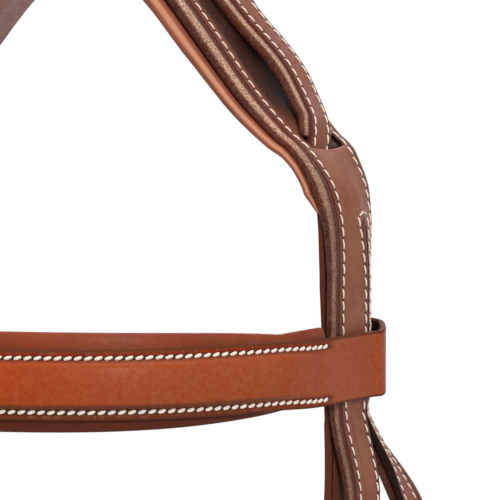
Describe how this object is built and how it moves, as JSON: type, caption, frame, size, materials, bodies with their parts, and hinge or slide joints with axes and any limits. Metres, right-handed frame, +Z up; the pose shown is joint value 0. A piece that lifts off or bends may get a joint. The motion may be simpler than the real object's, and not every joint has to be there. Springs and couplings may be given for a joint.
{
  "type": "horse bridle",
  "caption": "Leather snaffle bridle with padded split headpiece, poll pad, raised stitched browband, cavesson noseband, throatlatch and buckled cheekpieces, without bit and reins.",
  "frame": {"origin": "Poll rest: the middle of the flat underside of the poll pad, where the bridle lies on the horse's poll.", "axes": "+Z up, front of the bridle towards -Y, the horse's left side towards +X."},
  "size_m": [0.2118, 0.2207, 0.429],
  "materials": {
    "strap_leather": "satin",
    "dark_leather": "satin",
    "browband_leather": "gloss",
    "poll_pad": "gloss",
    "brass": "polished"
  },
  "bodies": {
    "bridle": {"billet_keeper_left": "strap_leather", "billet_keeper_right": "strap_leather", "billet_stud_left": "brass", "billet_stud_right": "brass", "cheek_left_buckle_frame": "brass", "cheek_left_keeper": "strap_leather", "cheek_right_buckle_frame": "brass", "cheek_right_keeper": "strap_leather", "cheekpiece_left": "strap_leather", "cheekpiece_right": "strap_leather", "headpiece_lining": "dark_leather", "headpiece_strap": "strap_leather", "headstrap": "strap_leather", "headstrap_lining": "dark_leather", "jaw_buckle_frame": "brass", "jaw_keeper": "strap_leather", "jaw_pad": "dark_leather", "jaw_strap_left": "strap_leather", "jaw_strap_right": "strap_leather", "nose_lining": "dark_leather", "nose_strap": "strap_leather", "noseband_buckle_frame": "brass", "noseband_cheek_strap": "strap_leather", "noseband_keeper": "strap_leather", "noseband_ring_left": "brass", "noseband_ring_right": "brass", "poll_pad": "poll_pad", "throat_left_buckle_frame": "brass", "throat_left_keeper": "strap_leather", "throat_lining_left": "dark_leather", "throat_lining_right": "dark_leather", "throat_right_buckle_frame": "brass", "throat_right_keeper": "strap_leather", "throatlatch": "strap_leather"},
    "browband": {"browband": "browband_leather", "browband_lining": "dark_leather"},
    "cheek_left_buckle_tongue": {"cheek_left_buckle_tongue": "brass"},
    "cheek_left_runner": {"cheek_left_runner": "strap_leather"},
    "cheek_right_buckle_tongue": {"cheek_right_buckle_tongue": "brass"},
    "cheek_right_runner": {"cheek_right_runner": "strap_leather"},
    "jaw_buckle_tongue": {"jaw_buckle_tongue": "brass"},
    "jaw_runner": {"jaw_runner": "strap_leather"},
    "noseband_buckle_tongue": {"noseband_buckle_tongue": "brass"},
    "noseband_runner": {"noseband_runner": "strap_leather"},
    "throat_left_buckle_tongue": {"throat_left_buckle_tongue": "brass"},
    "throat_left_runner": {"throat_left_runner": "strap_leather"},
    "throat_right_buckle_tongue": {"throat_right_buckle_tongue": "brass"},
    "throat_right_runner": {"throat_right_runner": "strap_leather"}
  },
  "joints": [
    {"name": "browband_slide", "type": "slide", "parent": "bridle", "child": "browband", "axis": [0, 0, 1], "range_m": [-0.005, 0.012]},
    {"name": "cheek_left_tongue_hinge", "type": "hinge", "parent": "bridle", "child": "cheek_left_buckle_tongue", "pos_m": [0.09752, -0.01254, -0.22374], "axis": [0, 0.9911, -0.133], "range_deg": [0, 12]},
    {"name": "cheek_left_runner_slide", "type": "slide", "parent": "bridle", "child": "cheek_left_runner", "axis": [0.12, 0.132, 0.984], "range_m": [-0.01, 0.007]},
    {"name": "cheek_right_tongue_hinge", "type": "hinge", "parent": "bridle", "child": "cheek_right_buckle_tongue", "pos_m": [-0.09752, -0.01254, -0.22374], "axis": [0, -0.9911, 0.133], "range_deg": [0, 12]},
    {"name": "cheek_right_runner_slide", "type": "slide", "parent": "bridle", "child": "cheek_right_runner", "axis": [-0.12, 0.132, 0.984], "range_m": [-0.01, 0.007]},
    {"name": "jaw_tongue_hinge", "type": "hinge", "parent": "bridle", "child": "jaw_buckle_tongue", "pos_m": [0.002, 0.057, -0.335], "axis": [0, 0, -1], "range_deg": [0, 12]},
    {"name": "jaw_runner_slide", "type": "slide", "parent": "bridle", "child": "jaw_runner", "axis": [-1, 0, 0], "range_m": [-0.01, 0.007]},
    {"name": "noseband_tongue_hinge", "type": "hinge", "parent": "bridle", "child": "noseband_buckle_tongue", "pos_m": [0.08577, -0.004, -0.24991], "axis": [0, 1, 0], "range_deg": [0, 12]},
    {"name": "noseband_runner_slide", "type": "slide", "parent": "bridle", "child": "noseband_runner", "axis": [0.1064, 0, 0.9943], "range_m": [-0.01, 0.007]},
    {"name": "throat_left_tongue_hinge", "type": "hinge", "parent": "bridle", "child": "throat_left_buckle_tongue", "pos_m": [0.09854, 0.04732, -0.21976], "axis": [0.0458, 0.916, 0.3986], "range_deg": [0, 12]},
    {"name": "throat_left_runner_slide", "type": "slide", "parent": "bridle", "child": "throat_left_runner", "axis": [0.0802, -0.4011, 0.9125], "range_m": [-0.01, 0.007]},
    {"name": "throat_right_tongue_hinge", "type": "hinge", "parent": "bridle", "child": "throat_right_buckle_tongue", "pos_m": [-0.09854, 0.04732, -0.21976], "axis": [0.0458, -0.916, -0.3986], "range_deg": [0, 12]},
    {"name": "throat_right_runner_slide", "type": "slide", "parent": "bridle", "child": "throat_right_runner", "axis": [-0.0802, -0.4011, 0.9125], "range_m": [-0.01, 0.007]}
  ]
}
